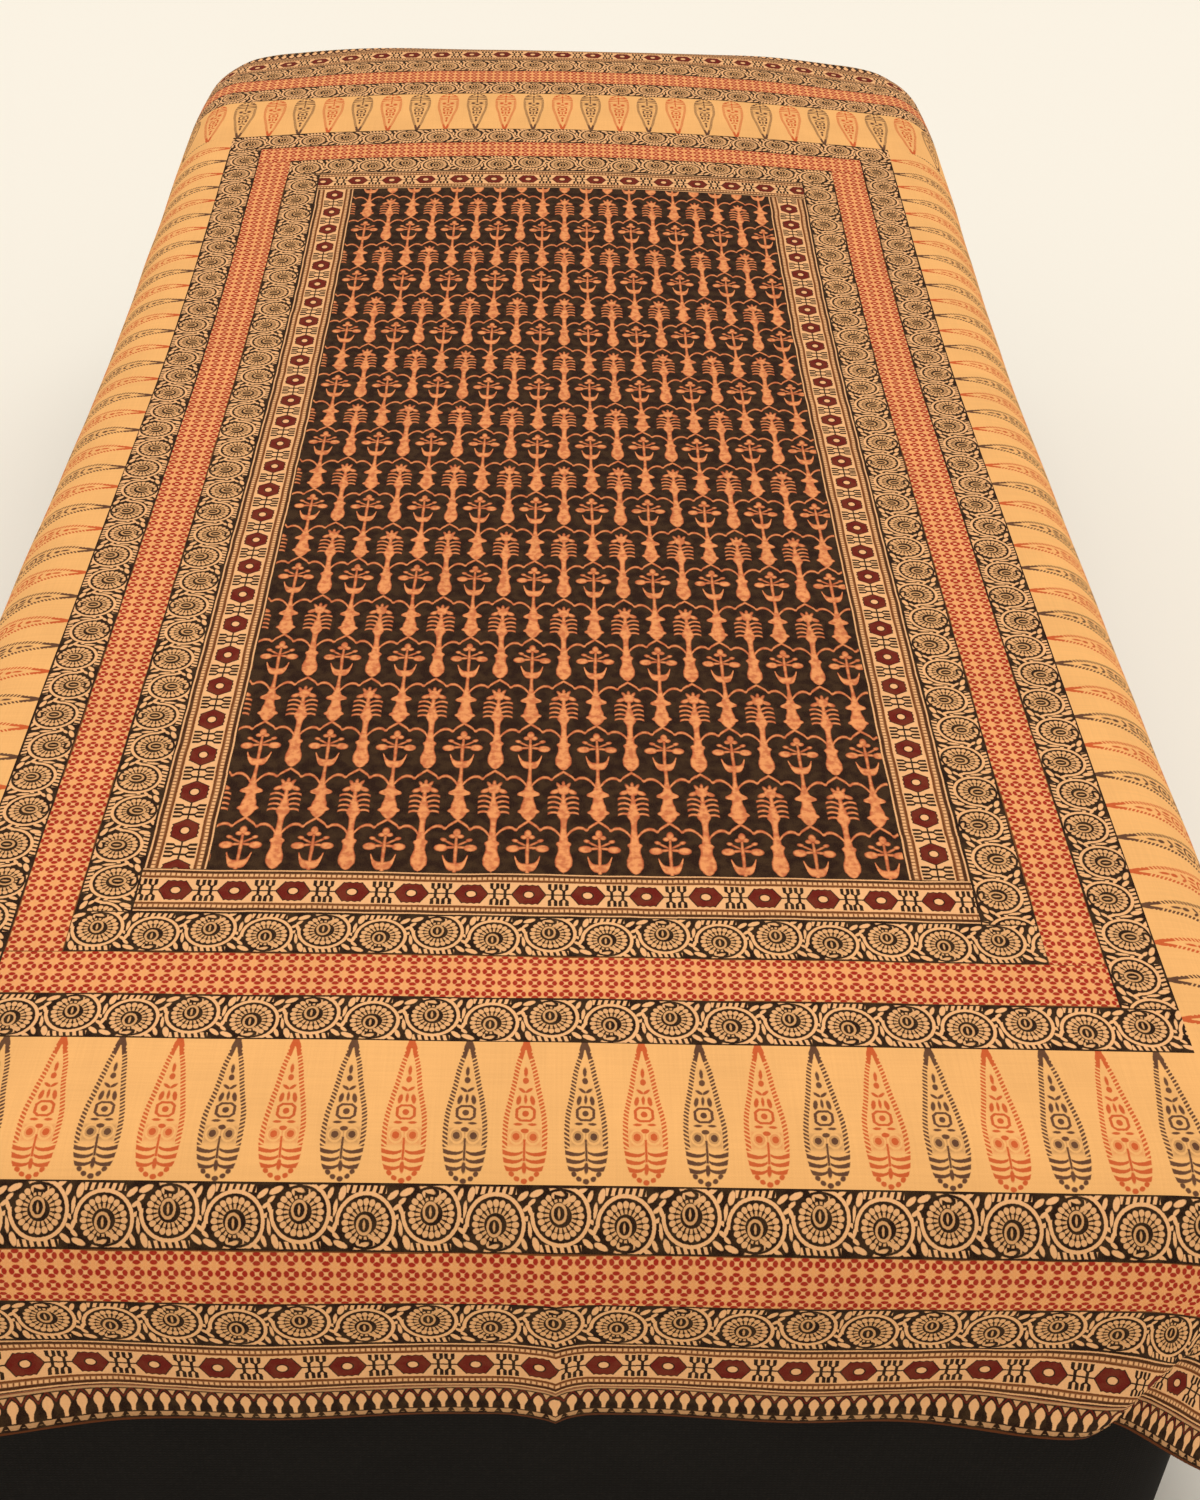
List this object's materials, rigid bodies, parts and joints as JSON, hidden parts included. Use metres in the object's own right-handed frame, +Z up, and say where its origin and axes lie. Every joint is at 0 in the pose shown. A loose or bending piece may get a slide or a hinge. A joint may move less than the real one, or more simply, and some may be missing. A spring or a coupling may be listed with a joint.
{
  "type": "bed sheet on mattress and base",
  "caption": "Block printed cotton sheet spread over a plain black mattress on its base, hanging at the foot and both long sides.",
  "frame": {"origin": "middle of the base's underside, on the floor", "axes": "+X across the bed, +Y along it towards the head end, +Z up"},
  "size_m": [1.2014, 2.1901, 0.5151],
  "materials": {
    "sheet_cotton": "matt plain weave cotton, printed in black and madder red on an ochre ground",
    "black_cover": "matt black woven cover"
  },
  "bodies": {
    "root": {"bed_sheet": "sheet_cotton", "mattress": "black_cover", "bed_base": "black_cover"}
  },
  "joints": []
}
